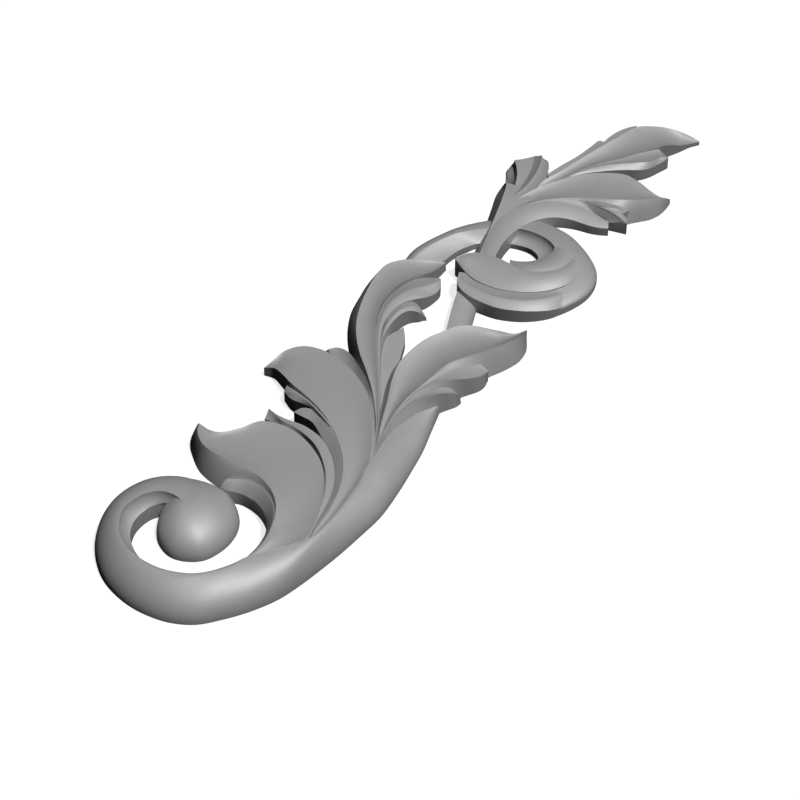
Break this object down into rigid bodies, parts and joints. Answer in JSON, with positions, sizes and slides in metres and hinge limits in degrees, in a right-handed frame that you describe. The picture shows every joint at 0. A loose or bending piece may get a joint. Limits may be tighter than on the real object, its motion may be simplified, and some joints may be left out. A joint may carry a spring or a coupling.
{
  "type": "decorative onlay",
  "caption": "Carved applique with a volute, a stem with acanthus leaves, a second scroll and a leaf spray, flat on its back for fixing to furniture or panelling.",
  "frame": {"origin": "on the flat back, under the fork where the stem parts into the leaves", "axes": "+X along the sweep from the volute to the tip of the leaf spray, +Z out of the carved front, away from the flat back"},
  "size_m": [0.3186, 0.0821, 0.0116],
  "materials": {
    "carving": "carved hardwood under a smooth neutral grey primer with a soft sheen"
  },
  "bodies": {
    "root": {"carved_onlay": "carving"}
  },
  "joints": []
}
